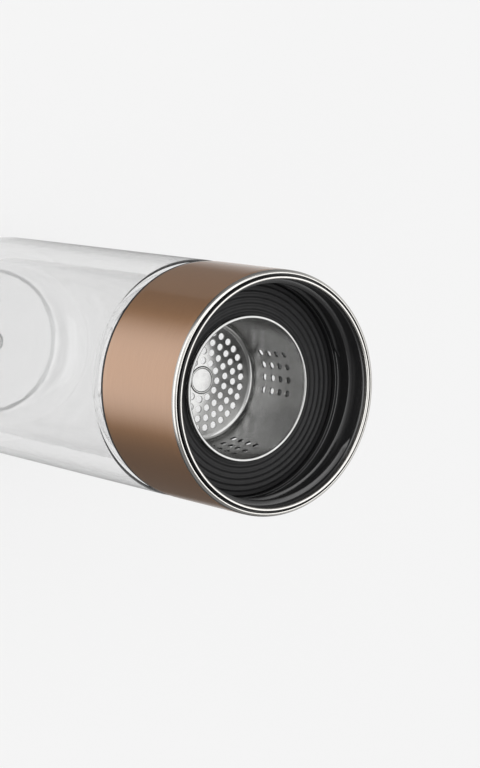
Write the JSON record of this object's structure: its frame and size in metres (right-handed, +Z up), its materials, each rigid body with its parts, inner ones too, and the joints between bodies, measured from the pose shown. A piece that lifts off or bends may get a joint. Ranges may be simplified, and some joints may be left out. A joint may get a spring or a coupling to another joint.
{
  "type": "fruit infuser water bottle",
  "caption": "Double-wall glass infuser bottle with a coated steel collar, threaded black liner and a lift-out perforated steel strainer.",
  "frame": {"origin": "centre of the foot, on the surface that the bottle stands on", "axes": "+Z up the bottle's axis towards the mouth; +X and +Y across it, +X towards a field of wall holes of the strainer, less 6 degrees"},
  "size_m": [0.065, 0.065, 0.1459],
  "materials": {
    "glass": "clear blown borosilicate glass, fire polished",
    "clear_silicone": "milky translucent silicone",
    "black_silicone": "satin black silicone",
    "bronze_steel": "bronze coating over fine brushed steel, satin",
    "black_plastic": "moulded black polypropylene, half gloss",
    "polished_steel": "polished stainless steel",
    "strainer_steel": "deep-drawn stainless steel, bright inside"
  },
  "bodies": {
    "bottle": {"outer_glass": "glass", "inner_glass": "glass", "base_plug": "clear_silicone", "collar_cushion": "black_silicone", "collar_sleeve": "bronze_steel", "neck_gasket": "black_silicone", "collar_liner": "black_plastic", "floor_seal": "black_silicone", "rim_ring": "polished_steel"},
    "strainer": {"strainer_cup": "strainer_steel"}
  },
  "joints": [
    {"name": "strainer_lift", "type": "slide", "parent": "bottle", "child": "strainer", "axis": [0, 0, 1], "range_m": [0, 0.08]}
  ]
}
